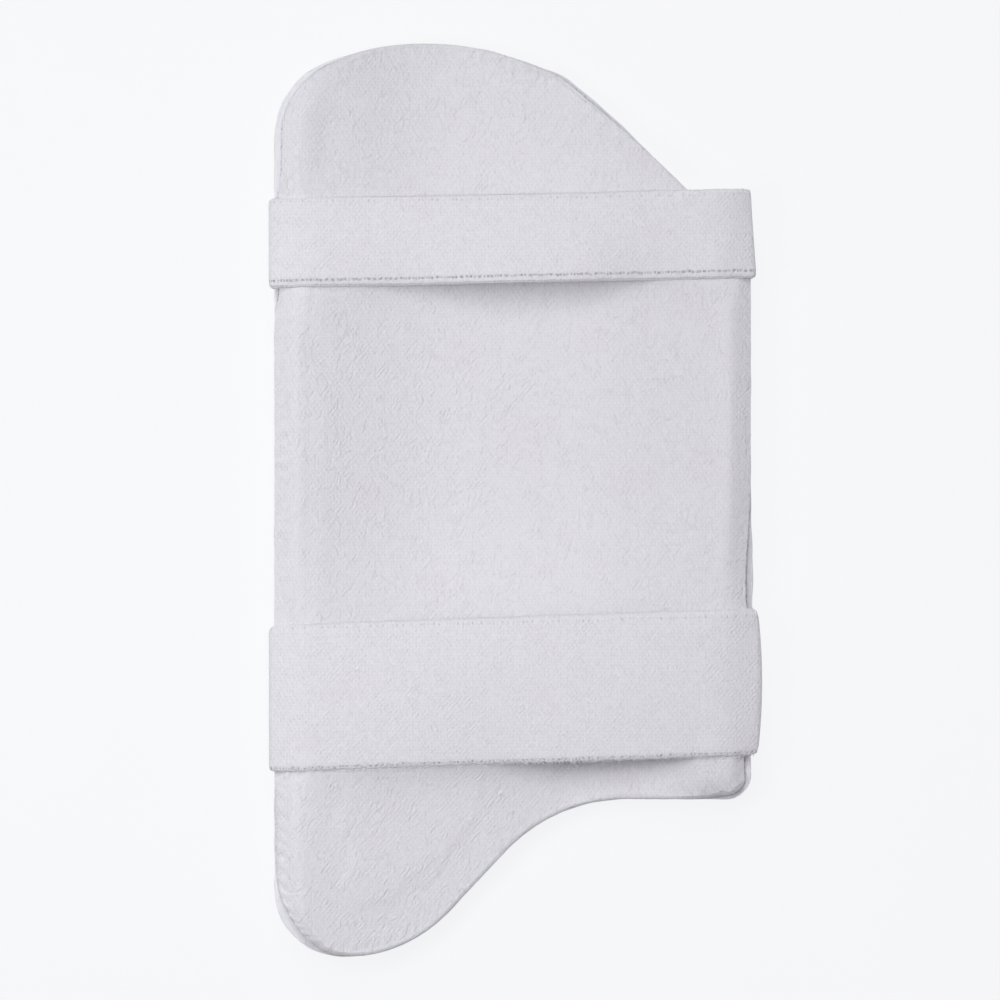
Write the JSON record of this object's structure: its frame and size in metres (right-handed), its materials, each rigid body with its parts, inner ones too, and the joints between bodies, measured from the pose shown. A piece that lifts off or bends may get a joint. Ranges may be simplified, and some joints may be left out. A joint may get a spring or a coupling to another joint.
{
  "type": "cricket thigh pad",
  "caption": "Padded cotton thigh guard, dished to fit the leg, with a sewn edge all round and elastic straps that cross its inner face and fasten on its outer face.",
  "frame": {"origin": "under the middle of the pad's box, on the surface that its outer face rests on", "axes": "+X to the right seen from the inner face, +Y towards the rounded top of the pad, +Z out of the inner face that goes against the leg"},
  "size_m": [0.2148, 0.4002, 0.0308],
  "materials": {
    "cotton_inner": "crinkled white cotton",
    "cotton_outer": "plain white cotton",
    "binding": "folded and stitched white cotton",
    "elastic": "knitted white elastic with dotted edges",
    "hook_tape": "white hook-and-loop tape"
  },
  "bodies": {
    "root": {"inner_panel": "cotton_inner", "outer_panel": "cotton_outer", "edge_binding": "binding", "upper_strap": "elastic", "lower_strap": "elastic", "upper_hook_patch": "hook_tape", "lower_hook_patch": "hook_tape"}
  },
  "joints": []
}
